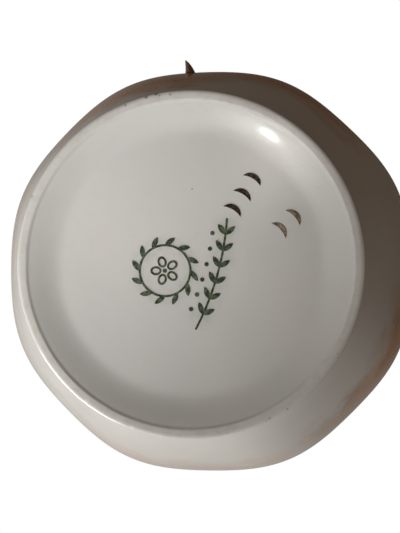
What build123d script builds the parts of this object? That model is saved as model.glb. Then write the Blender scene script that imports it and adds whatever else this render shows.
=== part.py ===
"""Porcelain baluster vase with an eight-ridged body, a turned foot and a round flared neck.

Millimetres, +Z up. The origin is the centre of the foot ring's standing edge, so the vase stands on
the plane Z = 0. The ridges lie halfway between the axes, and a flat panel faces each of X and Y.

The vase is put together as a potter lutes it: a turned foot ring, a base plate stepped into it, a
cast body over both, and a neck whose tongue sits in the shoulder. Gilding, backstamp and painter's
strokes are fired on afterwards as thin films, each in a node of its own.
"""

import math
import os

from build123d import *

# --- driving dimensions -------------------------------------------------------------------------

height = 178.0  # standing edge to the top of the lip

foot_radius = 33.0  # widest part of the foot ring
foot_height = 5.0  # standing edge to the seam with the body
foot_wall = 2.6  # radial thickness of the foot ring at its widest
foot_taper = 1.0  # how much narrower the foot ring is at the seam than at its widest
standing_width = 0.7  # flat ground edge that touches the table
outer_round = 1.1  # rounding from the ground edge to the outside
inner_round = 0.9  # height at which the rounding to the inside meets the cove

recess_depth = 2.6  # standing edge up to the base at the cove
cove_width = 3.8  # how far the cove reaches in from the foot ring
base_dome = 0.12  # extra rise of the flat middle of the base
base_slope = 2.6  # width of the soft slope between the cove and the flat middle
base_thickness = 3.8  # base plate, from the flat middle to the floor inside
base_step = 2.0  # how far the plate's upper disc steps out to rest on the foot ring
base_cover = 0.6  # how far the body reaches in over the rim of that disc

wall = 3.6  # cast wall of the body
ridge_count = 8
ridge_share = 0.012  # how far a ridge stands out of the mean radius at the belly, as a share of it
ridge_spread = 0.7  # below 1 a ridge keeps its strength further up and down the wall
belly_radius = 60.6
belly_height = 90.0
lower_lean = 14.0  # how far the body leans out over its first stretch above the foot
lower_rise = 25.0  # height of that first stretch
belly_hold = 38.0  # how far below the belly the body is already drawn to full width

shoulder_radius = 27.0  # body at the seam with the neck
shoulder_height = 141.0
shoulder_hold = 26.0  # how far above the belly the body is still drawn to full width
shoulder_run = 17.0  # how far the shoulder slopes in over its last stretch
shoulder_fall = 15.0  # height of that last stretch

neck_wall = 3.0
neck_radius = 21.0  # outside, at the waist of the neck
neck_waist = 154.0  # height of that waist
lip_radius = 35.0  # outermost edge of the lip
lip_bead = 1.7  # radius of the rounded lip
lip_flare = 29.0  # rise of the flaring neck where it meets the lip, in degrees
tongue_depth = 3.0  # how deep the neck's tongue sits in the shoulder
tongue_cover = 2.4  # body wall left round the tongue

leaf_tip_share = 0.565  # where a modelled leaf tip stands, as a share of the curve from foot to belly
leaf_tip_bearing = 86.2
leaf_tip_width = 3.8
leaf_tip_rise = 6.0  # its height up the wall, where it is luted on
leaf_tip_reach = 2.9  # how far its point stands out of the wall
leaf_tip_lean = 0.9  # how far that point bends to the side
leaf_tip_point = 0.2  # radius of its blunt point
leaf_tip_root = 1.2  # how deep its root starts inside the wall before it is trimmed to the glaze

film = 0.12  # thickness of gilding and of fired-on colour
gilt_line_width = 1.0  # painted line round the waist of the neck
seam_line_radius = 0.7  # round roll laid in the seam of shoulder and neck, gilded

stamp_line = 0.42  # width of the lines in the backstamp
wreath_centre = (4.5, -1.3)
wreath_radius = 4.9
wreath_leaves = 12
wreath_leaf_lean = 55.0  # how far a leaf of the wreath turns away from pointing straight out
petal_count = 5
petal_ring = 1.75  # centre of a petal from the centre of the flower
petal_reach = 1.08  # half the length of a petal
petal_spread = 0.88  # half its width
leaf_length = 2.5
leaf_bow = 0.5  # how far each side of a leaf bends out
sprig_root = (-1.3, -12.6)  # the sprig beside the wreath, from its cut end to its tip
sprig_bend = (-5.3, -3.0)
sprig_tip = (-7.5, 8.6)
sprig_pairs = 6
sprig_leaf_angle = 42.0
berry_radius = 0.42
berry_reach = 2.5  # centre of a berry from the stem

stroke_length = 3.9  # painter's strokes, laid by brush
stroke_bow = 1.45  # how far the outer side of a stroke bends out
stroke_hollow = 0.45  # how far its inner side bends the same way
dark_count = 3
dark_pitch = 3.5
dark_inset = 4.1  # outermost stroke's centre, in from the edge of the flat middle
dark_bearing = 128.0  # where that stroke lies, in degrees from +X
dark_heading = 123.0  # direction in which the row runs outward
faint_count = 2
faint_pitch = 3.6
faint_inset = 2.4
faint_bearing = 157.0
faint_heading = 138.0

# --- sizes that follow ----------------------------------------------------------------------------

seam_radius = foot_radius - foot_taper
foot_inner = foot_radius - foot_wall
standing_outer = foot_radius - outer_round
standing_inner = standing_outer - standing_width
cove_start = foot_inner - cove_width
flat_radius = cove_start - base_slope
base_z = recess_depth + base_dome
floor_z = base_z + base_thickness
plate_radius = cove_start + base_step

shoulder_slope = (-shoulder_run, shoulder_fall)
tongue_radius = shoulder_radius - tongue_cover
tongue_bore = tongue_radius - neck_wall
lip_centre = (lip_radius - film - lip_bead, height - film - lip_bead)
overshoot = 1.0  # how far a cutter runs past the face it cuts


def bezier(ends, handles, t):
    """The point at t on a cubic curve, as (radius, height)."""
    points = (ends[0], handles[0], handles[1], ends[1])
    weights = ((1 - t) ** 3, 3 * t * (1 - t) ** 2, 3 * t**2 * (1 - t), t**3)
    return tuple(sum(w * p[k] for w, p in zip(weights, points)) for k in (0, 1))


def lower_body(t):
    """Outer meridian from the foot seam, t = 0, to the belly, t = 1."""
    seam = (seam_radius, foot_height)
    belly = (belly_radius, belly_height)
    lean = (seam_radius + lower_lean, foot_height + lower_rise)
    full = (belly_radius, belly_height - belly_hold)
    return bezier((seam, belly), (lean, full), t)


def upper_body(t):
    """Outer meridian from the belly, t = 0, to the neck seam, t = 1."""
    belly = (belly_radius, belly_height)
    seam = (shoulder_radius, shoulder_height)
    full = (belly_radius, belly_height + shoulder_hold)
    slope = (shoulder_radius + shoulder_run, shoulder_height - shoulder_fall)
    return bezier((belly, seam), (full, slope), t)


def inward(curve, t, distance):
    """The point at t on a meridian, moved into the wall along its normal."""
    step = 1e-4
    before = curve(t - step)
    after = curve(t + step)
    run = after[0] - before[0]
    rise = after[1] - before[1]
    length = math.hypot(run, rise)
    here = curve(t)
    return (here[0] - distance * rise / length, here[1] + distance * run / length)


def ridge_fade(z):
    """Share of the full ridge at height z: none at the two round seams, all of it at the belly."""
    reach = belly_height - foot_height if z < belly_height else shoulder_height - belly_height
    share = min(1.0, abs(z - belly_height) / reach)
    return max(0.0, math.cos(share * math.pi / 2)) ** ridge_spread


def ridged_outline(radius, z):
    """Points of one closed section of the body, four to a ridge, starting on a ridge."""
    count = 4 * ridge_count
    first_ridge = math.pi / ridge_count
    swing = radius * ridge_share * ridge_fade(z)
    points = []
    for i in range(count):
        turn = 2 * math.pi * i / count
        reach = radius + swing * math.cos(ridge_count * turn)
        angle = first_ridge + turn
        points.append((reach * math.cos(angle), reach * math.sin(angle)))
    return points


def polar(distance, bearing):
    """The point at a distance from the axis, at a bearing in degrees."""
    return (distance * math.cos(math.radians(bearing)), distance * math.sin(math.radians(bearing)))


def row_places(count, pitch, inset, bearing, heading):
    """Places of a row of strokes that ends at its outermost one and runs outward along heading."""
    end = polar(flat_radius - inset, bearing)
    step = polar(pitch, heading)
    return [(end[0] - i * step[0], end[1] - i * step[1]) for i in range(count)]


def leaf():
    """A pointed leaf along +X from its stalk end at the origin."""
    with BuildSketch() as shape:
        with BuildLine():
            SagittaArc((0, 0), (leaf_length, 0), leaf_bow)
            SagittaArc((0, 0), (leaf_length, 0), -leaf_bow)
        make_face()
    return shape.sketch


def brush_stroke():
    """A comma stroke, full in the middle and pointed at both ends, along X."""
    with BuildSketch() as shape:
        with BuildLine():
            SagittaArc((-stroke_length / 2, 0), (stroke_length / 2, 0), stroke_bow)
            SagittaArc((-stroke_length / 2, 0), (stroke_length / 2, 0), stroke_hollow)
        make_face()
    return shape.sketch


def finish(piece, name):
    """Labels a finished piece and writes its STEP file."""
    piece.part.label = name
    export_step(piece.part, f"parts/{name}.step")
    print(name, round(piece.part.volume, 1), "mm3", len(piece.part.solids()), "solids")


os.makedirs("parts", exist_ok=True)

# --- foot ring: turned band with a rounded lower edge, a narrow ground flat and a cove inside ------

with BuildPart() as foot_ring:
    with BuildSketch(Plane.XZ):
        with BuildLine():
            Line((standing_inner, 0), (standing_outer, 0))
            RadiusArc((standing_outer, 0), (foot_radius, outer_round), -outer_round)
            Spline(
                (foot_radius, outer_round),
                (seam_radius, foot_height),
                tangents=((0, 1), (-foot_taper, foot_height)),
            )
            Polyline(
                (seam_radius, foot_height),
                (cove_start, foot_height),
                (cove_start, recess_depth),
            )
            cove = TangentArc(
                (cove_start, recess_depth), (foot_inner, inner_round), tangent=(1, 0)
            )
            Spline((foot_inner, inner_round), (standing_inner, 0), tangents=(cove % 1, (1, 0)))
        make_face()
    revolve(axis=Axis.Z)

finish(foot_ring, "foot_ring")

# --- base plate: recessed base, slightly raised in the middle, stepped to rest on the foot ring -----

with BuildPart() as base_plate:
    with BuildSketch(Plane.XZ):
        with BuildLine():
            Line((0, floor_z), (0, base_z))
            Line((0, base_z), (flat_radius, base_z))
            Spline((flat_radius, base_z), (cove_start, recess_depth), tangents=((1, 0), (1, 0)))
            Polyline(
                (cove_start, recess_depth),
                (cove_start, foot_height),
                (plate_radius, foot_height),
                (plate_radius, floor_z),
                (0, floor_z),
            )
        make_face()
    revolve(axis=Axis.Z)

finish(base_plate, "base_plate")

# --- seam roll: round roll of slip laid in the seam of shoulder and neck, gilded where it shows -----

with BuildPart() as seam_gilt_line:
    with BuildSketch(Plane.XZ):
        with Locations((shoulder_radius, shoulder_height)):
            Circle(seam_line_radius)
    revolve(axis=Axis.Z)

finish(seam_gilt_line, "seam_gilt_line")

# --- body: cast ridged shell, open below for the base plate and above for the neck ------------------

lower_steps = (0.17, 0.33, 0.5, 0.67, 0.83, 1.0)
upper_steps = (0.2, 0.4, 0.6, 0.8)

outer_sections = [lower_body(t) for t in (0.0,) + lower_steps]
outer_sections += [upper_body(t) for t in upper_steps + (1.0,)]

inner_sections = [(plate_radius - base_cover, floor_z)]
inner_sections += [inward(lower_body, t, wall) for t in lower_steps]
inner_sections += [inward(upper_body, t, wall) for t in upper_steps]
inner_sections += [(tongue_bore, shoulder_height - tongue_depth)]

with BuildPart() as cavity:
    for radius, z in inner_sections:
        with BuildSketch(Plane.XY.offset(z)):
            with BuildLine():
                Spline(*ridged_outline(radius, z), periodic=True)
            make_face()
    loft()

with BuildPart() as body:
    for radius, z in outer_sections:
        with BuildSketch(Plane.XY.offset(z)):
            with BuildLine():
                Spline(*ridged_outline(radius, z), periodic=True)
            make_face()
    loft()
    add(cavity.part, mode=Mode.SUBTRACT)
    with BuildSketch(Plane.XY.offset(foot_height)):
        Circle(plate_radius)
    extrude(amount=floor_z - foot_height, mode=Mode.SUBTRACT)
    with BuildSketch(Plane.XY.offset(shoulder_height - tongue_depth)):
        Circle(tongue_radius)
    extrude(amount=tongue_depth + overshoot, mode=Mode.SUBTRACT)
    add(seam_gilt_line.part, mode=Mode.SUBTRACT)

finish(body, "body")

# --- leaf tip: small pointed tip luted on low on the wall, trimmed to the wall it stands on ---------

wall_radius, wall_height = lower_body(leaf_tip_share)
leaf_tip_plane = Plane(
    origin=(*polar(wall_radius - leaf_tip_root, leaf_tip_bearing), wall_height),
    x_dir=(*polar(1, leaf_tip_bearing - 90), 0),
    z_dir=(*polar(1, leaf_tip_bearing), 0),
)

with BuildPart() as leaf_tip:
    with BuildSketch(leaf_tip_plane):
        Ellipse(leaf_tip_width / 2, leaf_tip_rise / 2)
    with BuildSketch(leaf_tip_plane.offset(leaf_tip_root + leaf_tip_reach)):
        with Locations((leaf_tip_lean, 0)):
            Circle(leaf_tip_point)
    loft()
    add(body.part, mode=Mode.SUBTRACT)

finish(leaf_tip, "leaf_tip")

# --- gilt line: flat band let into the glaze round the waist of the neck -----------------------------

with BuildPart() as neck_gilt_line:
    with BuildSketch(Plane.XZ):
        with Locations((neck_radius, neck_waist)):
            Rectangle(2 * film, gilt_line_width)
    revolve(axis=Axis.Z)

finish(neck_gilt_line, "neck_gilt_line")

# --- neck: waisted tube with a flared, rounded lip, and a tongue that sits in the shoulder ----------

half_wall = neck_wall / 2
slope_length = math.hypot(*shoulder_slope)
seam_start = (
    shoulder_radius - half_wall * shoulder_fall / slope_length,
    shoulder_height - half_wall * shoulder_run / slope_length,
)

with BuildPart() as neck:
    with BuildSketch(Plane.XZ):
        with BuildLine():
            Spline(
                seam_start,
                (neck_radius - half_wall, neck_waist),
                lip_centre,
                tangents=(shoulder_slope, polar(1, lip_flare)),
            )
        trace(line_width=neck_wall)
        with Locations(lip_centre):
            Circle(lip_bead)
    revolve(axis=Axis.Z)
    with BuildSketch(Plane.XY.offset(shoulder_height)):
        Circle(shoulder_radius + overshoot)
    extrude(amount=-neck_wall, mode=Mode.SUBTRACT)
    with BuildSketch(Plane.XY.offset(shoulder_height)):
        Circle(tongue_radius)
        Circle(tongue_bore, mode=Mode.SUBTRACT)
    extrude(amount=-tongue_depth)
    add(seam_gilt_line.part, mode=Mode.SUBTRACT)
    add(neck_gilt_line.part, mode=Mode.SUBTRACT)

finish(neck, "neck")

# --- gilding on the lip, over the outer half of its bead ---------------------------------------------

with BuildPart() as lip_gilding:
    with BuildSketch(Plane.XZ):
        with Locations(Location((*lip_centre, 0), (0, 0, lip_flare))):
            Circle(lip_bead + film)
            Circle(lip_bead, mode=Mode.SUBTRACT)
            Rectangle(
                2 * lip_bead,
                3 * lip_bead,
                align=(Align.MAX, Align.CENTER),
                mode=Mode.SUBTRACT,
            )
    revolve(axis=Axis.Z)

finish(lip_gilding, "lip_gilding")

# --- backstamp: a wreath round a flower, and a leafy sprig beside it, on the flat of the base -------

with BuildPart() as stamp_wreath:
    with BuildSketch(Plane.XY.offset(base_z)):
        with Locations(wreath_centre):
            Circle(wreath_radius + stamp_line / 2)
            Circle(wreath_radius - stamp_line / 2, mode=Mode.SUBTRACT)
            with PolarLocations(wreath_radius, wreath_leaves):
                add(leaf().rotate(Axis.Z, wreath_leaf_lean))
    extrude(amount=-film)

finish(stamp_wreath, "stamp_wreath")

with BuildPart() as stamp_flower:
    with BuildSketch(Plane.XY.offset(base_z)):
        with Locations(wreath_centre):
            with PolarLocations(petal_ring, petal_count):
                Ellipse(petal_reach, petal_spread)
                Ellipse(petal_reach - stamp_line, petal_spread - stamp_line, mode=Mode.SUBTRACT)
            Circle(stamp_line)
    extrude(amount=-film)

finish(stamp_flower, "stamp_flower")

with BuildPart() as stamp_sprig:
    with BuildSketch(Plane.XY.offset(base_z)):
        with BuildLine():
            stem = Spline(sprig_root, sprig_bend, sprig_tip)
        trace(line_width=stamp_line)
        for i in range(sprig_pairs):
            along = (i + 1) / (sprig_pairs + 1)
            heading = math.degrees(math.atan2((stem % along).Y, (stem % along).X))
            for side in (-1, 1):
                with Locations(Location(stem @ along, (0, 0, heading + side * sprig_leaf_angle))):
                    add(leaf())
            with Locations(Location(stem @ along, (0, 0, heading - 90))):
                with Locations((berry_reach, 0)):
                    Circle(berry_radius)
    extrude(amount=-film)

finish(stamp_sprig, "stamp_sprig")

# --- painter's strokes: a dark row and a faint row, brushed on the base beside the stamp ------------

with BuildPart() as painter_strokes:
    with BuildSketch(Plane.XY.offset(base_z)):
        for place in row_places(dark_count, dark_pitch, dark_inset, dark_bearing, dark_heading):
            with Locations(Location((*place, 0), (0, 0, dark_heading - 90))):
                add(brush_stroke())
    extrude(amount=-film)

finish(painter_strokes, "painter_strokes")

with BuildPart() as faint_strokes:
    with BuildSketch(Plane.XY.offset(base_z)):
        for place in row_places(faint_count, faint_pitch, faint_inset, faint_bearing, faint_heading):
            with Locations(Location((*place, 0), (0, 0, faint_heading - 90))):
                add(brush_stroke())
    extrude(amount=-film)

finish(faint_strokes, "faint_strokes")
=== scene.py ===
# %% [markdown]
# # A ridged porcelain vase, seen from its foot
# The vase is cast and turned in sections, luted together, glazed white, painted on the belly and
# gilded on the lip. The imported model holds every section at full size. This lesson gives each
# section a finer skin, builds its glaze from noise, and lights it softly.

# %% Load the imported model
import bisect
import math
import random

import bmesh
import bpy
from mathutils import Matrix, Vector


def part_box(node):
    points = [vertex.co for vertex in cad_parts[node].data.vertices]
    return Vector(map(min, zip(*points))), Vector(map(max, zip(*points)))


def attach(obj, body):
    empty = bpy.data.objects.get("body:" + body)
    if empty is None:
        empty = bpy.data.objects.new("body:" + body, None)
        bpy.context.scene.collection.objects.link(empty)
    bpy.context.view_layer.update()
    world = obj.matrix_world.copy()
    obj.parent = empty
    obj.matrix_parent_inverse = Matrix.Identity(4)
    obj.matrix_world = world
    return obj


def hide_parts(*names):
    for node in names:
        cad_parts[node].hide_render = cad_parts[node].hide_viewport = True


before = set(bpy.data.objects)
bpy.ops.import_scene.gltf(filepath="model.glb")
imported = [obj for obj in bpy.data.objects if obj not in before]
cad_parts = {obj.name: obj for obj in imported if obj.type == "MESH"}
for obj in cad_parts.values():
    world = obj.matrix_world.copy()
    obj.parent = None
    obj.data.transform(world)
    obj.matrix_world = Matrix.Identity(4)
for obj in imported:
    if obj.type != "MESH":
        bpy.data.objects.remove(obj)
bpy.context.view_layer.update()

print("sections and films:", sorted(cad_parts))

# %% [markdown]
# ## Sizes
# A potter thinks in millimetres from the table up, so every profile is written that way and turned
# into metres at the end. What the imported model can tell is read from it; the curves between those
# points follow the same rule as the model's: one smooth curve from foot to belly, one from belly to
# shoulder.

# %% Read the sizes from the model
MM = 0.001


def low(node):
    """Lowest corner of a section, in millimetres."""
    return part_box(node)[0] / MM


def high(node):
    """Highest corner of a section, in millimetres."""
    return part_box(node)[1] / MM


foot_radius = high("foot_ring").x
foot_height = high("foot_ring").z
foot_taper = 1.0
foot_wall = 2.6
standing_width = 0.7
outer_round = 1.1
recess_depth = low("base_plate").z
base_z = high("stamp_wreath").z
floor_z = high("base_plate").z
plate_radius = high("base_plate").x
cove_width = 3.8
cove_start = foot_radius - foot_wall - cove_width
base_slope = 2.6

belly_height = 90.0
ridge_count = 8
ridge_share = 0.012
first_ridge = math.pi / ridge_count
belly_radius = high("body").x / (1 - ridge_share)
shoulder_height = high("body").z
seam_roll = 0.7
shoulder_radius = -low("seam_gilt_line").x - seam_roll
wall = 3.6

film = 0.12
neck_radius = high("neck_gilt_line").x - film
neck_waist = (low("neck_gilt_line").z + high("neck_gilt_line").z) / 2
neck_wall = 3.0
lip_bead = 1.7
lip_centre = (high("lip_gilding").x - film - lip_bead, high("lip_gilding").z - film - lip_bead)
lip_flare = math.radians(29)
tongue_radius = shoulder_radius - 2.4
tongue_bore = tongue_radius - neck_wall
tongue_z = low("neck").z
measured = (foot_radius, belly_radius, shoulder_radius)
print("foot radius %.1f, belly radius %.1f, shoulder radius %.1f mm" % measured)

# %% [markdown]
# ## Profiles
# Round pottery is a profile spun about an axis. Three small helpers write a profile: a straight run,
# an arc round a centre, and a smooth curve with two handles. Each gives evenly stepped points, so the
# spun mesh has even quads and a highlight slides over it without a kink.

# %% Runs, arcs and curves


def run(start, end, steps):
    """Points along a straight line, the first one left out."""
    return [
        tuple(a + (b - a) * i / steps for a, b in zip(start, end)) for i in range(1, steps + 1)
    ]


def arc(centre, radius, first, last, steps):
    """Points round an arc, in degrees from the outward radius towards the top."""
    points = []
    for i in range(steps + 1):
        turn = math.radians(first + (last - first) * i / steps)
        points.append((centre[0] + radius * math.cos(turn), centre[1] + radius * math.sin(turn)))
    return points


def curve(start, handle_a, handle_b, end, steps):
    """Points of a cubic curve with two handles."""
    points = []
    for i in range(steps + 1):
        t = i / steps
        weights = ((1 - t) ** 3, 3 * t * (1 - t) ** 2, 3 * t**2 * (1 - t), t**3)
        corners = (start, handle_a, handle_b, end)
        points.append(tuple(sum(w * p[k] for w, p in zip(weights, corners)) for k in (0, 1)))
    return points


def inset(points, distance):
    """A profile moved sideways into the wall, to the left of the way it runs."""
    moved = []
    for i, here in enumerate(points):
        before = points[max(i - 1, 0)]
        after = points[min(i + 1, len(points) - 1)]
        along = (after[0] - before[0], after[1] - before[1])
        length = math.hypot(*along)
        moved.append((here[0] - distance * along[1] / length, here[1] + distance * along[0] / length))
    return moved


# %% [markdown]
# ## Spinning a profile
# Blender has a Screw modifier for this, but the body isn't round: its eight ridges swell and fade
# with height. So the spin is written out, with one place where a piece may change its radius as it
# turns. A point on the axis becomes a single vertex, which closes a disc without a pinched hole.

# %% Spin a profile into a mesh
turns = 256


def add_object(name, data):
    """A new object in the scene."""
    made = bpy.data.objects.new(name, data)
    bpy.context.collection.objects.link(made)
    return made


def spun(name, profile, swell=None):
    """A mesh made by spinning (radius, height) points in millimetres about the vertical axis."""
    verts, rings, faces = [], [], []
    for radius, z in profile:
        if radius < 1e-6:
            rings.append([len(verts)])
            verts.append((0.0, 0.0, z * MM))
            continue
        ring = []
        for i in range(turns):
            angle = 2 * math.pi * i / turns
            reach = radius * (swell(angle, z) if swell else 1.0) * MM
            ring.append(len(verts))
            verts.append((reach * math.cos(angle), reach * math.sin(angle), z * MM))
        rings.append(ring)
    for a, b in zip(rings, rings[1:] + rings[:1]):
        for i in range(turns):
            j = (i + 1) % turns
            if len(a) == 1 and len(b) == 1:
                break
            if len(a) == 1:
                faces.append((a[0], b[j], b[i]))
            elif len(b) == 1:
                faces.append((a[i], a[j], b[0]))
            else:
                faces.append((a[i], a[j], b[j], b[i]))
    mesh = bpy.data.meshes.new(name)
    mesh.from_pydata(verts, [], faces)
    mesh.validate()
    mesh.shade_smooth()
    mesh.set_sharp_from_angle(angle=math.radians(38))
    piece = add_object(name, mesh)
    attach(piece, "root")
    print(name, "has", len(faces), "faces")
    return piece


# %% [markdown]
# ## Foot ring
# The ring is turned while the clay is leather hard, so its lower edge is a small round bead with a
# narrow flat, ground after firing so that it doesn't stick to the shelf. Inside, a cove runs up to the
# base. At the top both edges are eased where the body sits, and a thin dark line of painted shade marks
# the crease there.

# %% Build the foot ring
ease = 0.35
seam_radius = foot_radius - foot_taper
standing_outer = foot_radius - outer_round
standing_inner = standing_outer - standing_width
foot_inner = foot_radius - foot_wall
cove_z = recess_depth - 0.30
cove_fall = 0.36
bead_z = 0.5

foot_profile = arc((standing_outer, outer_round), outer_round, -90, 0, 12)
foot_profile += curve(
    (foot_radius, outer_round),
    (foot_radius, outer_round + 1.3),
    (seam_radius + 0.25, foot_height - 1.3),
    (seam_radius, foot_height - ease),
    14,
)[1:]
foot_profile += arc((seam_radius - ease, foot_height - ease), ease, 0, 90, 5)[1:]
foot_profile += run((seam_radius - ease, foot_height), (cove_start, foot_height), 4)
foot_profile += run((cove_start, foot_height), (cove_start, cove_z), 2)
foot_profile += curve(
    (cove_start, cove_z),
    (cove_start + 1.3, cove_z - 1.3 * cove_fall),
    (foot_inner - 1.0, bead_z + 0.42),
    (foot_inner, bead_z),
    22,
)[1:]
foot_profile += curve(
    (foot_inner, bead_z),
    (foot_inner + 0.4, bead_z - 0.17),
    (standing_inner - 0.35, 0.0),
    (standing_inner, 0.0),
    10,
)[1:]
foot = spun("foot_ring_skin", foot_profile)
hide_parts("foot_ring")

# %% [markdown]
# ## Base
# The base is a plate that steps up into the foot. Its under side is nearly flat and a little higher in
# the middle, and it runs into the cove without an edge.

# %% Build the base
flat_radius = cove_start - base_slope
base_profile = [(0.0, floor_z), (0.0, base_z)]
base_profile += run((0.0, base_z), (flat_radius, base_z), 24)
base_profile += curve(
    (flat_radius, base_z),
    (flat_radius + 1.2, base_z),
    (cove_start - 0.9, cove_z + 0.9 * cove_fall),
    (cove_start, cove_z),
    14,
)[1:]
base_profile += run((cove_start, cove_z), (cove_start, foot_height), 2)
base_profile += run((cove_start, foot_height), (plate_radius, foot_height), 2)
base_profile += run((plate_radius, foot_height), (plate_radius, floor_z), 3)
base_profile += run((plate_radius, floor_z), (0.0, floor_z), 20)[:-1]
base = spun("base_skin", base_profile)
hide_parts("base_plate")

# %% [markdown]
# ## Body
# The body is cast in a mould with eight soft ridges that are strongest at the belly and fade out
# towards both round seams. Its outline is one curve up to the belly and one over the shoulder. The
# inside follows the outside at the thickness of the cast, so the wall is real when one looks in.

# %% Build the body


def ridge_fade(z):
    """Share of the full ridge at a height: none at the seams, all of it at the belly."""
    if z < belly_height:
        reach = belly_height - foot_height
    else:
        reach = shoulder_height - belly_height
    share = min(1.0, abs(z - belly_height) / reach)
    return max(0.0, math.cos(share * math.pi / 2)) ** 0.7


def ridges(angle, z):
    """How far the body stands out or in at this angle, as a factor on its radius."""
    return 1 + ridge_share * ridge_fade(z) * math.cos(ridge_count * (angle - first_ridge))


lower_outline = curve(
    (seam_radius, foot_height),
    (seam_radius + 14.0, foot_height + 25.0),
    (belly_radius, belly_height - 38.0),
    (belly_radius, belly_height),
    110,
)
upper_outline = curve(
    (belly_radius, belly_height),
    (belly_radius, belly_height + 26.0),
    (shoulder_radius + 17.0, shoulder_height - 15.0),
    (shoulder_radius, shoulder_height),
    80,
)
outline = lower_outline + upper_outline[1:]
lining = [p for p in inset(outline, wall) if floor_z < p[1] < tongue_z]
lining = [p for p in lining if p[0] > tongue_bore]

body_profile = [(plate_radius, foot_height)]
body_profile += run((plate_radius, foot_height), (seam_radius - ease, foot_height), 3)
body_profile += [(seam_radius, foot_height + ease)]
body_profile += [p for p in outline if p[1] > foot_height + 2 * ease]
body_profile += run((shoulder_radius, shoulder_height), (tongue_radius, shoulder_height), 2)
body_profile += run((tongue_radius, shoulder_height), (tongue_radius, tongue_z), 2)
body_profile += run((tongue_radius, tongue_z), (tongue_bore, tongue_z), 2)
body_profile += lining[::-1]
body_profile += [(plate_radius, floor_z)]
body = spun("body_skin", body_profile, swell=ridges)
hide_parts("body")

# %% [markdown]
# ## Neck and lip
# The neck is thrown round, waisted, and flares to a rounded lip. A short tongue at its foot sits in
# the shoulder, and the slip pressed out of that joint is left as a thin roll.

# %% Build the neck
slope = Vector((-17.0, 15.0)).normalized()
neck_centre_line = curve(
    (shoulder_radius - neck_wall / 2 * slope.y, shoulder_height + neck_wall / 2 * slope.x),
    (neck_radius - neck_wall / 2 + 1.6, shoulder_height + 4.6),
    (neck_radius - neck_wall / 2 + 0.1, neck_waist - 4.5),
    (neck_radius - neck_wall / 2, neck_waist),
    40,
)
neck_centre_line += curve(
    (neck_radius - neck_wall / 2, neck_waist),
    (neck_radius - neck_wall / 2 - 0.1, neck_waist + 9.0),
    (lip_centre[0] - 8.0 * math.cos(lip_flare), lip_centre[1] - 8.0 * math.sin(lip_flare)),
    lip_centre,
    60,
)[1:]
neck_outside = inset(neck_centre_line, -neck_wall / 2)
neck_inside = inset(neck_centre_line, neck_wall / 2)
flare = math.degrees(lip_flare)
neck_profile = [(shoulder_radius, shoulder_height)]
neck_profile += [p for p in neck_outside if p[1] > shoulder_height + 0.3][:-1]
neck_profile += arc(lip_centre, lip_bead, flare - 88, flare + 88, 28)
neck_profile += [p for p in neck_inside[::-1] if p[1] > shoulder_height][1:]
neck_profile += [(tongue_bore, shoulder_height - 0.4)]
neck_profile += run((tongue_bore, shoulder_height - 0.4), (tongue_bore, tongue_z), 2)
neck_profile += run((tongue_bore, tongue_z), (tongue_radius, tongue_z), 2)
neck_profile += run((tongue_radius, tongue_z), (tongue_radius, shoulder_height), 2)
neck = spun("neck_skin", neck_profile)
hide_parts("neck")

# %% [markdown]
# ## Gilding
# Gold is brushed on last and fired low. It lies on the lip, in one thin line at the waist, and on the
# roll at the shoulder seam. The films are spun from the profile of the clay they lie on, so they never
# float or sink.

# %% Build the gilding
lip_gold = spun(
    "lip_gold",
    arc(lip_centre, lip_bead + film, flare - 90, flare + 90, 30)
    + arc(lip_centre, lip_bead - film, flare + 90, flare - 90, 30),
)
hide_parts("lip_gilding")

waist_rows = [p for p in neck_outside if abs(p[1] - neck_waist) <= 0.7]
waist_gold = spun(
    "waist_gold", inset(waist_rows, -0.07) + inset(waist_rows, 0.1)[::-1]
)
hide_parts("neck_gilt_line")

seam_gold = spun("seam_gold", arc((shoulder_radius, shoulder_height), seam_roll, 0, 360, 24)[:-1])
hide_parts("seam_gilt_line")

# %% [markdown]
# ## Raised enamel
# The belly carries autumn sprays in raised enamel: twigs, leaves and berries painted on thickly, so
# that they stand out of the glaze and can be felt. Each is its own closed mesh, half sunk in the
# glaze. To lay them on, the body's outline is measured along its own length; a point is then named by
# how far up the wall it is and by its angle, and a leaf drawn flat bends over the ridges by itself.

# %% Measure along the wall
wall_length = [0.0]
for before, after in zip(outline, outline[1:]):
    wall_length.append(wall_length[-1] + math.dist(before, after))


def along_wall(length):
    """Radius, height and outward direction of the outside at a length up the wall, in millimetres."""
    i = min(max(bisect.bisect_right(wall_length, length) - 1, 0), len(outline) - 2)
    share = (length - wall_length[i]) / (wall_length[i + 1] - wall_length[i])
    a, b = outline[i], outline[i + 1]
    step = math.dist(a, b)
    out = ((b[1] - a[1]) / step, (a[0] - b[0]) / step)
    return a[0] + share * (b[0] - a[0]), a[1] + share * (b[1] - a[1]), out


def length_at(height):
    """How far up the wall a height is."""
    i = next(k for k, p in enumerate(outline) if p[1] >= height)
    return wall_length[i]


def on_body(length, angle, lift=0.0):
    """A point on the glaze, or lift millimetres above it, in metres."""
    radius, z, out = along_wall(length)
    reach = radius * ridges(angle, z) + lift * out[0]
    return Vector((reach * math.cos(angle), reach * math.sin(angle), z + lift * out[1])) * MM


print("wall from foot to neck, mm: %.1f" % wall_length[-1])

# %% [markdown]
# A leaf is drawn flat first: its half width swells quickly from the stalk and tapers to a drawn-out
# tip, with small teeth. Rings shrink from that edge towards the midrib, so the enamel can be thickest
# in the middle and thin at the edge.

# %% Draw a leaf and lay it on
leaf_rings = 7
leaf_points = 72
enamel = 0.34
sunk = 0.10


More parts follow.
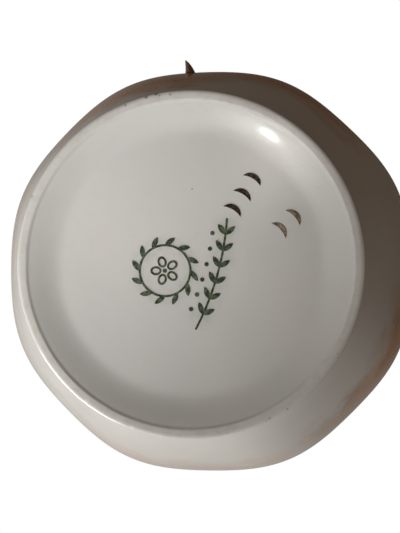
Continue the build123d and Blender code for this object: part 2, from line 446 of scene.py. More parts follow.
def leaf_edge(length, width, teeth, lobed):
    """Outline of a flat leaf, as (along, across) points in millimetres from the stalk end."""
    edge = []
    for i in range(leaf_points):
        turn = 2 * math.pi * i / leaf_points
        t = 0.5 - 0.5 * math.cos(turn)
        side = 1 if math.sin(turn) > 0 else -1
        swell = math.sin(math.pi * t**0.72) ** 0.85 if 0 < t < 1 else 0.0
        tooth = 1 + 0.10 * abs(math.sin(teeth * math.pi * t)) - 0.05
        lobe = 1 + lobed * 0.42 * math.cos(3 * 2 * math.pi * (t - 0.42))
        edge.append((length * t, side * width / 2 * swell * tooth * lobe))
    return edge


def stitch(faces, start, rows, around, capped=True):
    """Joins rows of points into a tube, closed at both ends if it is capped."""
    for row in range(rows - 1):
        a, b = start + row * around, start + (row + 1) * around
        for k in range(around):
            j = (k + 1) % around
            faces.append((a + k, b + k, b + j, a + j))
    if capped:
        faces.append(tuple(start + k for k in range(around)))
        faces.append(tuple(start + (rows - 1) * around + k for k in reversed(range(around))))


def lay_leaf(store, length_up, angle, heading, length, width, teeth, lobed, curl):
    """Adds one raised leaf to store, whose faces stay closed, and returns how to place its veins."""
    verts, faces, rings = store
    edge = leaf_edge(length, width, teeth, lobed)

    def place(along, across, lift):
        bend = curl * (along / length) ** 2
        a = along * math.cos(bend) - across * math.sin(bend)
        b = along * math.sin(bend) + across * math.cos(bend)
        up = a * math.cos(heading) - b * math.sin(heading)
        round_ = a * math.sin(heading) + b * math.cos(heading)
        radius = along_wall(length_up + up)[0]
        return on_body(length_up + up, angle + round_ / radius, lift)

    start = len(verts)
    for k in range(leaf_rings + 1):
        share = 1 - k / leaf_rings
        for along, across in edge:
            middle = min(max(along, 0.1 * length), 0.9 * length)
            a = middle + (along - middle) * share
            groove = 0.07 * math.exp(-((across * share) / 0.35) ** 2)
            height = enamel * (1 - share**5) - groove
            verts.append(place(a, across * share, height if k else -sunk))
            rings.append(share)
    stitch(faces, start, leaf_rings + 1, leaf_points, capped=False)
    inner = start + leaf_rings * leaf_points
    half = leaf_points // 2
    for i in range(half):
        across_i = (leaf_points - i) % leaf_points
        quad = (inner + i, inner + across_i, inner + leaf_points - i - 1, inner + i + 1)
        flat = list(dict.fromkeys(quad))
        if len(flat) > 2:
            faces.append(tuple(flat))
    under = len(verts)
    verts.append(place(length / 2, 0.0, -2 * sunk))
    rings.append(0.5)
    for i in range(leaf_points):
        faces.append((start + i, start + (i + 1) % leaf_points, under))
    return place


def lay_line(store, path, thick, high, sides=8):
    """Adds a brushed line along path, a list of points on the glaze, that tapers to both ends."""
    verts, faces, rings = store
    start = len(verts)
    count = len(path)
    for i, here in enumerate(path):
        ahead = (path[min(i + 1, count - 1)] - path[max(i - 1, 0)]).normalized()
        out = Vector((here.x, here.y, 0.0)).normalized()
        out = (out - ahead * out.dot(ahead)).normalized()
        sideways = ahead.cross(out)
        t = i / (count - 1)
        swell = max(0.12, min(1.0, 4 * t + 0.3) * (1 - 0.75 * t))
        for k in range(sides):
            turn = 2 * math.pi * k / sides
            verts.append(
                here
                + sideways * thick * swell * math.cos(turn) * MM
                + out * high * swell * math.sin(turn) * MM
            )
            rings.append(t)
    stitch(faces, start, count, sides)


def lay_berry(store, length_up, angle, size, steps=16, rows=6):
    """Adds a round berry, a low dome closed below the glaze."""
    verts, faces, rings = store
    start = len(verts)
    for row in range(rows):
        tilt = math.pi / 2 * row / (rows - 1) * 0.98
        for k in range(steps):
            turn = 2 * math.pi * k / steps
            across = size * math.cos(tilt)
            radius = along_wall(length_up)[0]
            point = on_body(
                length_up + across * math.cos(turn),
                angle + across * math.sin(turn) / radius,
                size * 0.55 * math.sin(tilt) - 0.1,
            )
            verts.append(point)
            rings.append(row / (rows - 1))
    stitch(faces, start, rows, steps)


# %% [markdown]
# Four sprays wind up and round the belly, one for each quarter of the wall. A twig climbs, leaves turn
# out to either side of it, and berries hang from short stalks in the gaps. The leaves are sorted into
# four enamels: rust, ochre, crimson and olive.

# %% Lay out the sprays
enamels = ("rust", "ochre", "crimson", "olive")
leaves = {name: ([], [], []) for name in enamels}
twigs, veins, berries = ([], [], []), ([], [], []), ([], [], [])
chance = random.Random(7)
spray_count = 4
leaves_in_spray = 7
low_wall, high_wall = length_at(69.0), length_at(120.0)


def spray_line(number, t):
    """Where a spray's twig is at t, as (length up the wall, angle)."""
    angle = 2 * math.pi * number / spray_count + math.radians(86) * t + math.radians(10)
    rise = low_wall + (high_wall - low_wall) * (0.12 + 0.76 * t)
    return rise + 5.5 * math.sin(2 * math.pi * t + number), angle


def add_veins(place, length, width):
    """A midrib and pairs of side veins, brushed on top of a leaf."""
    middle = [place(length * (0.02 + 0.93 * i / 16), 0.0, enamel - 0.02) for i in range(17)]
    lay_line(veins, middle, 0.22, 0.12)
    for k in range(5):
        start = length * (0.16 + 0.14 * k)
        reach = width * 0.36 * math.sin(math.pi * (0.22 + 0.14 * k) ** 0.72)
        for side in (-1, 1):
            path = []
            for i in range(7):
                t = i / 6
                forward = start + reach * 0.85 * t**0.9
                path.append(place(forward, side * reach * t, enamel - 0.03 - 0.10 * t**3))
            lay_line(veins, path, 0.13, 0.09)


for number in range(spray_count):
    path = [on_body(*spray_line(number, i / 60), 0.12) for i in range(61)]
    lay_line(twigs, path, 0.62, 0.42)
    for k in range(leaves_in_spray):
        t = (k + 0.55) / leaves_in_spray
        side = -1 if k % 2 else 1
        here, angle = spray_line(number, t)
        length = chance.uniform(15.5, 21.5) * (1.1 - 0.25 * t)
        width = length * chance.uniform(0.52, 0.66)
        heading = math.radians(62) - side * math.radians(chance.uniform(48, 84))
        radius = along_wall(here)[0]
        stalk = chance.uniform(2.0, 4.0)
        tip = (here + stalk * math.cos(heading), angle + stalk * math.sin(heading) / radius)
        stalk_path = []
        for i in range(7):
            share = i / 6
            stalk_path.append(
                on_body(here + (tip[0] - here) * share, angle + (tip[1] - angle) * share, 0.12)
            )
        lay_line(twigs, stalk_path[::-1], 0.36, 0.3)
        colour = enamels[(k + number * 2 + chance.randrange(2)) % len(enamels)]
        teeth, lobed = chance.choice((9, 11, 13)), chance.choice((0.0, 0.0, 0.6))
        curl = side * chance.uniform(-0.5, 0.3)
        place = lay_leaf(leaves[colour], *tip, heading, length, width, teeth, lobed, curl)
        add_veins(place, length, width)
    for k in range(3):
        t = 0.22 + 0.27 * k
        here, angle = spray_line(number, t)
        side = 1 if k % 2 else -1
        for j in range(4):
            drop = side * (4.2 + 2.1 * j + chance.uniform(-0.4, 0.4))
            drift = chance.uniform(-2.4, 2.4)
            radius = along_wall(here + drop)[0]
            place_angle = angle + (1.5 + drift) / radius
            stem = []
            for i in range(9):
                share = i / 8
                swing = (place_angle - angle) * share**1.6
                stem.append(on_body(here + drop * share, angle + swing, 0.08))
            lay_line(twigs, stem[::-1], 0.24, 0.22)
            lay_berry(berries, here + drop, place_angle, chance.uniform(1.15, 1.5))


def enamel_piece(name, store):
    """Makes one closed mesh from a store, with how near the edge each point is kept as its UV."""
    verts, faces, rings = store
    mesh = bpy.data.meshes.new(name)
    mesh.from_pydata(verts, [], faces)
    layer = mesh.uv_layers.new(name="share")
    for loop in mesh.loops:
        layer.data[loop.index].uv = (rings[loop.vertex_index], 0.5)
    made = bmesh.new()
    made.from_mesh(mesh)
    bmesh.ops.recalc_face_normals(made, faces=made.faces)
    made.to_mesh(mesh)
    made.free()
    mesh.validate()
    mesh.shade_smooth()
    piece = add_object(name, mesh)
    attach(piece, "root")
    print(name, "has", len(mesh.polygons), "faces")
    return piece


tip_bearing = 86.2
tip_root = 0.8
tip_reach = 4.0
tip_width = 3.0
tip_rise = 5.2
tip_lean = 1.0
tip_droop = 0.5
tip_point = 0.06


def leaf_tip_store(steps=16, rows=14):
    """The free tip of a modelled leaf: flat ovals that shrink and bend aside on their way out."""
    centre = (low("leaf_tip") + high("leaf_tip")) / 2
    bearing = math.radians(tip_bearing)
    out = Vector((math.cos(bearing), math.sin(bearing), 0.0))
    aside = Vector((math.sin(bearing), -math.cos(bearing), 0.0))
    root = along_wall(length_at(centre.z))[0] * ridges(bearing, centre.z) - tip_root
    verts, faces, rings = [], [], []
    for row in range(rows + 1):
        t = row / rows
        middle = out * (root + tip_reach * t) + aside * tip_lean * t * t
        middle.z = centre.z - tip_droop * t
        shrink = (1 - t) ** 0.75 * (1 - tip_point) + tip_point
        for k in range(steps):
            turn = 2 * math.pi * k / steps
            across = tip_width / 2 * shrink * math.cos(turn)
            up = tip_rise / 2 * shrink * math.sin(turn)
            verts.append((middle + aside * across + Vector((0, 0, up))) * MM)
            rings.append(t)
    for row in range(rows):
        for k in range(steps):
            a, b = row * steps, (row + 1) * steps
            j = (k + 1) % steps
            faces.append((a + k, a + j, b + j, b + k))
    faces.append(tuple(range(steps)))
    faces.append(tuple(rows * steps + k for k in range(steps)))
    return verts, faces, rings


leaf_pieces = {name: enamel_piece("leaves_" + name, store) for name, store in leaves.items()}
tip_piece = enamel_piece("leaf_tip_skin", leaf_tip_store())
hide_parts("leaf_tip")
twig_piece = enamel_piece("twigs", twigs)
vein_piece = enamel_piece("leaf_veins", veins)
berry_piece = enamel_piece("berries", berries)

# %% [markdown]
# ## Writing a material
# A glaze is a stack of small effects, so each material is a short list of nodes. `wire` adds one node
# and plugs in whatever it is given: a number goes on the socket, another node's output is linked.

# %% Node helpers


def wire(tree, kind, settings=None, **inputs):
    """Adds a shader node; an input's name has _ for each space, and in_0 means the first socket."""
    made = tree.nodes.new("ShaderNode" + kind)
    for key, value in (settings or {}).items():
        setattr(made, key, value)
    for key, value in inputs.items():
        socket = made.inputs[int(key[3:])] if key.startswith("in_") else made.inputs[key.replace("_", " ")]
        if isinstance(value, bpy.types.NodeSocket):
            tree.links.new(value, socket)
        else:
            socket.default_value = value
    return made


def maths(tree, operation, a, b=0.0, c=0.0):
    """One sum on numbers or sockets."""
    return wire(tree, "Math", {"operation": operation}, in_0=a, in_1=b, in_2=c).outputs[0]


def times(tree, a, b):
    return maths(tree, "MULTIPLY", a, b)


def vectors(tree, operation, a, b, result="Value"):
    """One sum on two vectors: a dot product or a distance."""
    return wire(tree, "VectorMath", {"operation": operation}, in_0=a, in_1=b).outputs[result]


def fade(tree, value, start, end, low_value=0.0, high_value=1.0):
    """A soft step: low_value before start, high_value after end."""
    settings = {"interpolation_type": "SMOOTHSTEP"}
    made = wire(tree, "MapRange", settings, Value=value, From_Min=start, From_Max=end)
    made.inputs["To Min"].default_value = low_value
    made.inputs["To Max"].default_value = high_value
    return made.outputs["Result"]


def blend(tree, factor, a, b):
    """A mix of two colours."""
    made = tree.nodes.new("ShaderNodeMix")
    made.data_type = "RGBA"
    for index, value in ((0, factor), (6, a), (7, b)):
        if isinstance(value, bpy.types.NodeSocket):
            tree.links.new(value, made.inputs[index])
        else:
            made.inputs[index].default_value = (*value, 1.0) if index else value
    return made.outputs[2]


def grain(tree, at, size_mm, detail=3.0, rough=0.5):
    """Noise over at["place"] whose spots are about size_mm across."""
    scale = 1.0 / size_mm
    noise = wire(tree, "TexNoise", None, Vector=at["place"], Scale=scale, Detail=detail, Roughness=rough)
    return noise.outputs[0]


def start_material(name):
    """A new material, with its place in millimetres and the split-up x, y, z and radius."""
    material = bpy.data.materials.new(name)
    material.use_nodes = True
    tree = material.node_tree
    tree.nodes.clear()
    here = wire(tree, "TexCoord").outputs["Object"]
    place = wire(tree, "VectorMath", {"operation": "SCALE"}, in_0=here, Scale=1 / MM).outputs[0]
    parts = wire(tree, "SeparateXYZ", None, in_0=place)
    x, y, z = parts.outputs
    square = maths(tree, "MULTIPLY_ADD", x, x, times(tree, y, y))
    radius = maths(tree, "SQRT", square)
    return material, tree, {"place": place, "x": x, "y": y, "z": z, "radius": radius}


def spot(tree, at, centre, size, softness):
    """1 inside a small round mark on the surface, 0 outside it, with a ragged edge."""
    gap = vectors(tree, "DISTANCE", at["place"], centre)
    ragged = maths(tree, "MULTIPLY_ADD", grain(tree, at, size * 0.7), size * 0.9, gap)
    return fade(tree, ragged, size + softness + size * 0.45, size + size * 0.45 - softness)


# %% [markdown]
# ## White glaze
# Hard porcelain is grey-white clay under a clear glaze. Three things keep it from looking like
# plastic: light that enters and comes back a little way off, a gloss that is broken by faint
# orange-peel and kiln dust, and a tone that drifts over the surface where the glaze lies thicker.

# %% The glaze that every white section shares


def glaze_layers(tree, at, tone=(0.81, 0.80, 0.77), cool=(0.77, 0.77, 0.75)):
    """Colour, roughness and height of plain white glaze."""
    drift = fade(tree, grain(tree, at, 26.0, 2.0), 0.35, 0.68)
    colour = blend(tree, drift, tone, cool)
    fine = grain(tree, at, 3.0, 4.0, 0.6)
    colour = blend(tree, fade(tree, fine, 0.52, 0.75, 0.0, 0.25), colour, (0.74, 0.72, 0.68))
    dust = wire(tree, "TexVoronoi", {"feature": "F1"}, Vector=at["place"], Scale=0.16)
    chosen = wire(tree, "SeparateColor", None, in_0=dust.outputs["Color"]).outputs[0]
    near = maths(tree, "LESS_THAN", dust.outputs["Distance"], 0.022)
    speck = times(tree, near, maths(tree, "GREATER_THAN", chosen, 0.72))
    colour = blend(tree, times(tree, speck, 0.75), colour, (0.16, 0.11, 0.07))
    rough = fade(tree, grain(tree, at, 9.0, 3.0), 0.3, 0.75, 0.09, 0.2)
    peel = times(tree, grain(tree, at, 1.6, 2.0), 0.006)
    wave = times(tree, grain(tree, at, 14.0, 1.0), 0.05)
    return colour, rough, maths(tree, "ADD", peel, wave)


def ceramic(tree, colour, rough, height_mm, metallic=None):
    """Closes a material with a porcelain shader: body light under a clear coat."""
    bump = wire(tree, "Bump", None, Height=height_mm, Distance=MM, Strength=1.0)
    shader = wire(tree, "BsdfPrincipled", None, Base_Color=colour, Roughness=rough)
    tree.links.new(bump.outputs[0], shader.inputs["Normal"])
    shader.inputs["IOR"].default_value = 1.52
    shader.inputs["Coat Weight"].default_value = 0.35
    shader.inputs["Coat Roughness"].default_value = 0.06
    shader.inputs["Subsurface Weight"].default_value = 0.10
    shader.inputs["Subsurface Radius"].default_value = (1.0, 0.85, 0.7)
    shader.inputs["Subsurface Scale"].default_value = 0.0010
    if metallic:
        tree.links.new(metallic, shader.inputs["Metallic"])
    output = wire(tree, "OutputMaterial")
    tree.links.new(shader.outputs[0], output.inputs["Surface"])
    return shader


def dress(piece, material):
    """Puts a material on a piece and prints what it wears."""
    piece.data.materials.clear()
    piece.data.materials.append(material)
    print(piece.name, "wears", material.name, "of", len(material.node_tree.nodes), "nodes")


def facing(tree, at, bearing, narrow, wide):
    """1 on the side of the vase that faces a bearing, 0 beyond wide degrees from it."""
    level = wire(tree, "CombineXYZ", None, in_0=at["x"], in_1=at["y"])
    outward = wire(tree, "VectorMath", {"operation": "NORMALIZE"}, in_0=level.outputs[0]).outputs[0]
    turn = math.radians(bearing)
    aim = (math.cos(turn), math.sin(turn), 0.0)
    near = vectors(tree, "DOT_PRODUCT", outward, aim)
    return fade(tree, near, math.cos(math.radians(wide)), math.cos(math.radians(narrow)))


scratch_bearing = math.radians(35)
worn_side = 124


def scratches(tree, at):
    """Hair-fine scratches that run along one bearing, in tufts, strongest in the cove on one side."""
    turn = scratch_bearing
    along = (0.35 * math.cos(turn), 0.35 * math.sin(turn), 0.0)
    across = (-7.0 * math.sin(turn), 7.0 * math.cos(turn), 0.0)
    a = vectors(tree, "DOT_PRODUCT", at["place"], along)
    b = vectors(tree, "DOT_PRODUCT", at["place"], across)
    drawn = wire(tree, "CombineXYZ", None, in_0=a, in_1=b).outputs[0]
    lines = fade(tree, grain(tree, {"place": drawn}, 1.5, 4.0, 0.7), 0.56, 0.66)
    tufts = fade(tree, grain(tree, at, 2.4, 3.0), 0.45, 0.6)
    side = maths(tree, "MULTIPLY_ADD", facing(tree, at, worn_side, 16, 46), 0.85, 0.15)
    cove = times(tree, fade(tree, at["radius"], 20.0, 26.0), side)
    return times(tree, times(tree, lines, tufts), cove)


# %% [markdown]
# ## Foot ring
# The narrow edge the vase stands on is ground bare after firing, so it is a little matter and warmer
# than the glaze beside it. It picks up dark specks, rusty stains and bright chips, and the glaze
# carries fine scratches, thickest in the cove. Each mark is a small ragged spot round a point on the
# ring, so a new one takes one row in the list.

# %% Paint the foot ring
# painted shade: this dark line stands in for the shade in the crease between foot ring and body
painted_crease_shade = (0.20, 0.15, 0.10)
rust, rust_deep, rust_pale = (0.34, 0.10, 0.06), (0.30, 0.10, 0.06), (0.40, 0.16, 0.12)
chip = (0.92, 0.90, 0.86)
foot_marks = (  # place and size in millimetres, colour
    ((-15.4, -28.2, 0.4), 0.30, rust),
    ((-15.0, -28.6, 0.4), 0.34, rust_deep),
    ((-14.4, -29.1, 0.4), 0.24, rust_pale),
    ((-18.3, -26.9, 0.4), 0.28, (0.34, 0.26, 0.20)),
    ((-27.8, -16.1, 0.4), 0.32, (0.42, 0.32, 0.26)),
    ((-27.5, -16.8, 0.4), 0.34, (0.36, 0.27, 0.21)),
    ((-27.3, -17.4, 0.4), 0.26, (0.44, 0.34, 0.28)),
    ((5.6, 32.1, 0.4), 0.34, (0.10, 0.08, 0.06)),
    ((5.0, 31.8, 0.3), 0.30, (0.12, 0.09, 0.06)),
    ((7.5, 31.5, 0.3), 0.34, (0.14, 0.11, 0.08)),
    ((11.5, 30.1, 0.3), 0.30, (0.12, 0.09, 0.06)),
    ((2.9, 31.9, 0.2), 0.26, (0.20, 0.16, 0.12)),
    ((23.1, 22.6, 0.4), 0.28, (0.20, 0.15, 0.10)),
    ((29.7, 13.1, 0.4), 0.30, (0.24, 0.20, 0.15)),
    ((24.7, 20.6, 0.4), 0.26, (0.24, 0.19, 0.14)),
    ((19.1, -25.7, 0.3), 0.55, chip),
    ((10.5, -30.6, 0.3), 0.45, chip),
    ((5.1, -32.2, 0.5), 0.40, chip),
)


def foot_material():
    material, tree, at = start_material("glazed_foot")
    colour, rough, height = glaze_layers(tree, at)
    bare = fade(tree, at["z"], 0.32, 0.02)
    smudge = fade(tree, grain(tree, at, 2.2, 5.0, 0.65), 0.42, 0.7)
    clay = blend(tree, smudge, (0.81, 0.79, 0.75), (0.70, 0.66, 0.60))
    colour = blend(tree, times(tree, bare, 0.6), colour, clay)
    rough = maths(tree, "MAXIMUM", rough, times(tree, bare, 0.42))
    hair = scratches(tree, at)
    rough = maths(tree, "MULTIPLY_ADD", hair, 0.3, rough)
    height = maths(tree, "MULTIPLY_ADD", hair, -0.03, height)
    # painted shade along the top outer edge of the foot ring, in the crease where the body sits
    crease_shade_mask = times(tree, fade(tree, at["z"], foot_height - 0.5, foot_height - 0.1), 0.7)
    outside = maths(tree, "GREATER_THAN", at["radius"], seam_radius - 1.0)
    colour = blend(tree, times(tree, crease_shade_mask, outside), colour, painted_crease_shade)
    for centre, size, tint in foot_marks:
        colour = blend(tree, times(tree, spot(tree, at, centre, size, 0.12), 0.8), colour, tint)
    ceramic(tree, colour, rough, height)
    return material


dress(foot, foot_material())

# %% [markdown]
# ## Base
# The base is plain white glaze. Colour printed under a glaze creeps a little way into it while it
# melts, so a pale green haze lies round the wreath and along the sprig. It is made from the distance
# to the wreath's ring and to a few places along the stem, and broken up with noise so that no edge
# shows.

# %% Paint the base
wreath_middle = (4.5, -1.3)
wreath_radius = 4.9
stem_places = ((-2.6, -9.6), (-4.0, -6.4), (-5.3, -3.0), (-6.3, 0.4), (-6.9, 3.6), (-7.4, 6.8))
haze_tint = (0.47, 0.53, 0.42)


def base_material():
    material, tree, at = start_material("glazed_base")
    colour, rough, height = glaze_layers(tree, at)
    hair = scratches(tree, at)
    rough = maths(tree, "MULTIPLY_ADD", hair, 0.3, rough)
    height = maths(tree, "MULTIPLY_ADD", hair, -0.03, height)
    gap = vectors(tree, "DISTANCE", at["place"], (*wreath_middle, base_z))
    ring_gap = maths(tree, "ABSOLUTE", maths(tree, "SUBTRACT", gap, wreath_radius))
    bleed = fade(tree, ring_gap, 2.4, 0.4)
    for place in stem_places:
        gap = vectors(tree, "DISTANCE", at["place"], (*place, base_z))
        bleed = maths(tree, "MAXIMUM", bleed, fade(tree, gap, 3.6, 0.8))
    uneven = fade(tree, grain(tree, at, 1.6, 4.0), 0.35, 0.65, 0.10, 0.34)
    colour = blend(tree, times(tree, bleed, uneven), colour, haze_tint)
    ceramic(tree, colour, rough, height)
    return material


dress(base, base_material())

# %% [markdown]
# ## Painted body
# The lower body is left white. Above it an amber ground is sprayed on, ragged at its lower edge,
# deepest at the belly and thinning out again over the shoulder. On some sides a list of patches lowers
# that edge towards the foot: this is painted reflection, the dim brown room mirrored in the shaded glaze
# where the wall is seen edge-on. The inside stays white: the paint is kept to faces that look outward.

# %% Paint the body
# painted reflection: on these sides the amber reaches low, for the brown room mirrored in shaded glaze
painted_reflection_patches = (  # bearing and half width in degrees, height where it starts in millimetres, strength
    (70, 24, 21, 1.0),
    (112, 26, 29, 0.95),
    (214, 22, 30, 1.0),
    (276, 30, 32, 0.48),
    (28, 24, 27, 0.55),
    (350, 22, 34, 0.40),
)


def body_material():
    material, tree, at = start_material("painted_glaze")
    colour, rough, height = glaze_layers(tree, at, (0.84, 0.82, 0.78), (0.79, 0.78, 0.745))
    drift = maths(tree, "SUBTRACT", grain(tree, at, 9.0, 4.0, 0.6), 0.5)
    ragged = maths(tree, "MULTIPLY_ADD", drift, 22.0, at["z"])
    ground = fade(tree, ragged, 45.0, 68.0)
    # painted reflection: each listed side lowers the amber edge towards the foot
    for bearing, half_width, start, strength in painted_reflection_patches:
        side = facing(tree, at, bearing, 0.4 * half_width, 1.5 * half_width)
        patch = times(tree, fade(tree, ragged, start - 5.0, start + 9.0), side)
        ground = maths(tree, "MAXIMUM", ground, times(tree, patch, strength))
    thin = fade(tree, ragged, 116.0, 146.0, 1.0, 0.12)
    cloud = fade(tree, grain(tree, at, 17.0, 5.0, 0.6), 0.35, 0.7)
    amber = blend(tree, cloud, (0.73, 0.30, 0.065), (0.53, 0.18, 0.035))
    olive = fade(tree, grain(tree, at, 23.0, 3.0, 0.6), 0.52, 0.66, 0.0, 0.6)
    amber = blend(tree, olive, amber, (0.30, 0.22, 0.08))
    spray = fade(tree, grain(tree, at, 0.7, 2.0, 0.6), 0.3, 0.7, 0.80, 1.0)
    cover = times(tree, times(tree, ground, thin), spray)
    outward = vectors(tree, "DOT_PRODUCT", wire(tree, "TexCoord").outputs["Normal"], at["place"])
    cover = times(tree, cover, fade(tree, outward, 0.0, 2.0))
    colour = blend(tree, cover, colour, amber)
    # painted shade: a thin dark line at the foot of the body, for the shade in the crease above the foot
    # ring
    seam = fade(tree, at["z"], foot_height + 0.55, foot_height + 0.1)
    colour = blend(tree, times(tree, seam, 0.7), colour, painted_crease_shade)
    ceramic(tree, colour, rough, height)
    return material


dress(body, body_material())

# %% [markdown]
# ## Neck
# The neck keeps the white of the body. Mist from the spray reaches its lowest part, and a warm blush
# lies under the gold of the lip, so one amber comes in from both ends and never fully covers the
# glaze.

# %% Paint the neck


def neck_material():
    material, tree, at = start_material("painted_glaze_neck")
    colour, rough, height = glaze_layers(tree, at, (0.84, 0.82, 0.77), (0.80, 0.78, 0.73))
    ragged = maths(tree, "MULTIPLY_ADD", grain(tree, at, 8.0, 3.0), 8.0, at["z"])
    low_blush = fade(tree, ragged, 158.0, 146.0, 0.0, 0.3)
    high_blush = fade(tree, ragged, 170.0, 183.0, 0.0, 0.45)
    blush = maths(tree, "ADD", low_blush, high_blush)
    colour = blend(tree, blush, colour, (0.56, 0.27, 0.085))
    ceramic(tree, colour, rough, height)
    return material


dress(neck, neck_material())

# %% [markdown]
# ## Enamel colours
# Each enamel is glassy, richer where it pools at the edge of a leaf and paler at the midrib, with
# brush streaks and a few thin places where the ground shows through.

# %% Paint the sprays


def enamel_material(name, middle, edge, other):
    material, tree, at = start_material(name)
    share = wire(tree, "SeparateXYZ", None, in_0=wire(tree, "TexCoord").outputs["UV"]).outputs[0]
    pooled = fade(tree, share, 0.35, 1.0)
    colour = blend(tree, pooled, middle, edge)
    patch = fade(tree, grain(tree, at, 6.0, 3.0), 0.42, 0.62)
    colour = blend(tree, times(tree, patch, 0.8), colour, other)
    streak = fade(tree, grain(tree, at, 0.6, 3.0, 0.65), 0.35, 0.7, 0.0, 0.3)
    colour = blend(tree, streak, colour, tuple(c * 0.45 for c in edge))
    rough = fade(tree, grain(tree, at, 2.0, 3.0), 0.3, 0.7, 0.12, 0.3)
    height = times(tree, grain(tree, at, 0.5, 3.0), 0.03)
    ceramic(tree, colour, rough, height)
    return material


enamel_tints = {  # colour in the middle, at the edge, and in patches
    "rust": ((0.66, 0.22, 0.045), (0.36, 0.075, 0.02), (0.75, 0.38, 0.06)),
    "ochre": ((0.80, 0.50, 0.11), (0.55, 0.25, 0.045), (0.62, 0.18, 0.04)),
    "crimson": ((0.50, 0.07, 0.035), (0.24, 0.022, 0.018), (0.62, 0.20, 0.04)),
    "olive": ((0.32, 0.33, 0.075), (0.13, 0.15, 0.035), (0.55, 0.36, 0.07)),
    "tip": ((0.24, 0.12, 0.06), (0.50, 0.17, 0.05), (0.30, 0.14, 0.06)),
    "bark": ((0.13, 0.06, 0.03), (0.09, 0.04, 0.02), (0.22, 0.11, 0.05)),
    "berry": ((0.50, 0.05, 0.03), (0.62, 0.10, 0.04), (0.35, 0.03, 0.02)),
}
enamelled = {**leaf_pieces, "tip": tip_piece, "bark": twig_piece, "berry": berry_piece}
for name, tints in enamel_tints.items():
    dress(enamelled[name], enamel_material("enamel_" + name, *tints))

# %% [markdown]
# ## Gold
# Bright gold on china is a very thin metal film. It wears first where fingers lift the vase, so
# the clay shows through in flecks and the polish is uneven.

# %% Paint the gold


def gold_material():
    material, tree, at = start_material("gilding")
    drift = fade(tree, grain(tree, at, 4.0, 4.0), 0.35, 0.7)
    colour = blend(tree, drift, (0.86, 0.60, 0.24), (0.70, 0.44, 0.15))
    worn = fade(tree, grain(tree, at, 0.9, 5.0, 0.7), 0.66, 0.72)
    colour = blend(tree, worn, colour, (0.72, 0.62, 0.48))
    rough = fade(tree, grain(tree, at, 1.2, 4.0), 0.3, 0.7, 0.12, 0.34)
    metal = maths(tree, "SUBTRACT", 1.0, worn)
    height = times(tree, grain(tree, at, 0.8), 0.01)
    shader = ceramic(tree, colour, rough, height, metal)
    shader.inputs["Subsurface Weight"].default_value = 0.0
    shader.inputs["Coat Weight"].default_value = 0.0
    return material


gold = gold_material()
for piece in (lip_gold, waist_gold, seam_gold, vein_piece):
    dress(piece, gold)

# %% [markdown]
# ## Marks on the base
# The stamp is printed in chrome green, so its ink is dense at the middle of a line and starved at the
# edges. The strokes beside it are brushed by hand: brown, dark where the brush was pressed.

# %% Paint the stamp and the strokes


def ink_material(name, dense, starved, patch_mm):
    material, tree, at = start_material(name)
    patchy = fade(tree, grain(tree, at, patch_mm, 5.0, 0.7), 0.40, 0.68)
    colour = blend(tree, patchy, dense, starved)
    rough = fade(tree, grain(tree, at, 1.0), 0.3, 0.7, 0.16, 0.3)
    height = times(tree, grain(tree, at, 0.5), 0.01)
    shader = ceramic(tree, colour, rough, height)
    shader.inputs["Subsurface Weight"].default_value = 0.0
    return material


stamp_green = ink_material("stamp_green", (0.035, 0.05, 0.028), (0.16, 0.20, 0.13), 0.8)
painter_brown = ink_material("painter_brown", (0.022, 0.014, 0.008), (0.08, 0.05, 0.03), 0.9)
painter_faded = ink_material("painter_faded", (0.16, 0.11, 0.075), (0.42, 0.35, 0.28), 1.0)

printed = {
    "stamp_wreath": stamp_green,
    "stamp_flower": stamp_green,
    "stamp_sprig": stamp_green,
    "painter_strokes": painter_brown,
    "faint_strokes": painter_faded,
}
for node_name, material in printed.items():
    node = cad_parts[node_name]
    node.data.materials.clear()
    node.data.materials.append(material)
print("marks painted:", len(printed))

# %% [markdown]
# ## Floor
# The vase stands on a pale floor. The camera that looks at the foot is below that floor, so the floor
# shows only from above and is clear from below. Away from the vase it fades into white paper, so the
# horizon has no edge.

# %% Lay the floor


def floor_material():
    material = bpy.data.materials.new("pale_floor")
    material.use_nodes = True
    tree = material.node_tree
    tree.nodes.clear()
    here = wire(tree, "TexCoord").outputs["Object"]
    cloudy = fade(tree, grain(tree, {"place": here}, 0.4), 0.3, 0.7)
    tone = blend(tree, cloudy, (0.64, 0.635, 0.62), (0.69, 0.68, 0.665))
    matt = wire(tree, "BsdfDiffuse", None, Color=tone)
    far = wire(tree, "VectorMath", {"operation": "LENGTH"}, in_0=here).outputs["Value"]
    paper = wire(tree, "Emission", None, Color=(1.0, 1.0, 1.0, 1.0), Strength=1.0)
    horizon = wire(tree, "MixShader", None, in_0=fade(tree, far, 0.12, 0.55))
    tree.links.new(matt.outputs[0], horizon.inputs[1])
    tree.links.new(paper.outputs[0], horizon.inputs[2])
    clear = wire(tree, "BsdfTransparent")
    under = wire(tree, "NewGeometry").outputs["Backfacing"]
    choice = wire(tree, "MixShader", None, in_0=under)
    tree.links.new(horizon.outputs[0], choice.inputs[1])
    tree.links.new(clear.outputs[0], choice.inputs[2])
    output = wire(tree, "OutputMaterial")
    tree.links.new(choice.outputs[0], output.inputs["Surface"])
    return material


floor_size = 4.0
floor_z_gap = 0.0002
floor_mesh = bpy.data.meshes.new("floor")
signs = ((-1, -1), (1, -1), (1, 1), (-1, 1))
corners = [(across * floor_size, along * floor_size, -floor_z_gap) for across, along in signs]
floor_mesh.from_pydata(corners, [], [(0, 1, 2, 3)])
floor_mesh.materials.append(floor_material())
floor = add_object("floor", floor_mesh)
floor.visible_shadow = False
floor.visible_diffuse = False
floor.visible_glossy = False
print("floor reaches %.0f m each way" % floor_size)

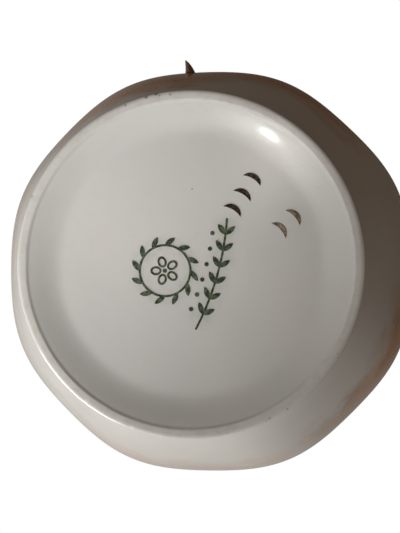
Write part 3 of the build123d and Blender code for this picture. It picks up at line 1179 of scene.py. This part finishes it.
# %% [markdown]
# ## Lamps
# A soft lamp stands low beside the foot, behind a grid that keeps its light narrow, so that it falls
# off across the base. A tiny one in the same place puts one highlight beside the cove. A window and an
# overhead lamp light the belly and the lip, and a weak one fills the back. The foot lamp and the back
# lamp are kept out of reflections, because glaze shows every lamp and one bright spot is enough.

# %% Hang the lamps
foot_lamp_place = (0.080, -0.088, -0.150)
daylight = (1.0, 0.98, 0.95)


def softbox(name, place, aim, size, watts, colour, spread=180):
    """A round soft lamp aimed at a point; spread is how wide its light opens, in degrees."""
    lamp = bpy.data.lights.new(name, "AREA")
    lamp.shape = "DISK"
    lamp.size = size
    lamp.energy = watts
    lamp.color = colour
    lamp.spread = math.radians(spread)
    holder = add_object(name, lamp)
    holder.location = place
    holder.rotation_mode = "QUATERNION"
    holder.rotation_quaternion = (Vector(aim) - Vector(place)).to_track_quat("-Z", "Y")
    return holder


foot_lamp = softbox(
    "foot_lamp", foot_lamp_place, (0.021, 0.014, 0.003), 0.08, 0.0108, (1.0, 0.995, 0.985), 28
)
foot_lamp.visible_glossy = False
softbox("glint", foot_lamp_place, (-0.018, 0.020, 0.003), 0.008, 0.00011, (1.0, 0.95, 0.88), 6)
softbox("window", (0.80, -0.75, 0.24), (0, 0, 0.07), 0.7, 8.0, daylight)
softbox("overhead", (0.02, -0.03, 1.2), (0, 0, 0.1), 0.6, 9.0, (1.0, 0.99, 0.97))
back_fill = softbox("back_fill", (-0.34, 0.32, 0.95), (0, 0, 0.1), 0.5, 5.0, (1.0, 0.96, 0.9))
back_fill.visible_glossy = False

# %% [markdown]
# ## Room
# Glaze mirrors the room more strongly the flatter one looks along it, so the room decides how the edge
# of the vase looks. It is dim brown on one side and grows paler towards the lamps. The camera itself
# sees plain white paper.

# %% Light the room
bright_side = (0.73, -0.68, 0.02)
dim_room = (0.058, 0.039, 0.026)
pale_room = (0.46, 0.44, 0.41)
world = bpy.data.worlds.new("room")
bpy.context.scene.world = world
world.use_nodes = True
room = world.node_tree
room.nodes.clear()
seen = wire(room, "Background", None, Color=(1.0, 1.0, 1.0, 1.0), Strength=1.0)
towards = wire(room, "TexCoord").outputs["Generated"]
glow = vectors(room, "DOT_PRODUCT", towards, bright_side)
sky = blend(room, fade(room, glow, -0.42, 0.62), dim_room, pale_room)
lit = wire(room, "Background", None, Color=sky, Strength=1.0)
choice = wire(room, "MixShader", None, in_0=wire(room, "LightPath").outputs["Is Camera Ray"])
room.links.new(lit.outputs[0], choice.inputs[1])
room.links.new(seen.outputs[0], choice.inputs[2])
room_output = wire(room, "OutputWorld")
room.links.new(choice.outputs[0], room_output.inputs["Surface"])
bpy.context.scene.view_settings.view_transform = "Standard"
print("room goes from", dim_room, "to", pale_room)

# %% [markdown]
# ## Camera
# The vase lies on its side in the hand and the camera looks almost straight at the foot from a hand's
# breadth away. The near foot then covers most of the body, which is why only a crescent of it shows.

# %% Place the camera
foot_distance = 112.11
sideways, upward = -2.46, 0.62
lean_across, lean_down, roll = math.radians(4.61), math.radians(1.64), math.radians(0.49)

mirrored = Matrix(((-1, 0, 0), (0, 1, 0), (0, 0, 1)))
leaning = Matrix.Rotation(lean_down, 3, "X") @ Matrix.Rotation(lean_across, 3, "Y")
to_view = leaning @ Matrix.Rotation(roll, 3, "Z") @ mirrored
shift = Vector((sideways, upward, foot_distance)) * MM
camera_data = bpy.data.cameras.new("camera")
camera_data.sensor_width = 36.0
camera_data.lens = 40.5
camera_data.clip_start = 0.005
camera = add_object("camera", camera_data)
axes = (Matrix(((1, 0, 0), (0, 1, 0), (0, 0, -1))) @ to_view).transposed()
camera.matrix_world = Matrix.Translation(to_view.transposed() @ -shift) @ axes.to_4x4()
bpy.context.scene.camera = camera
print("camera at", [round(v / MM, 1) for v in camera.location])
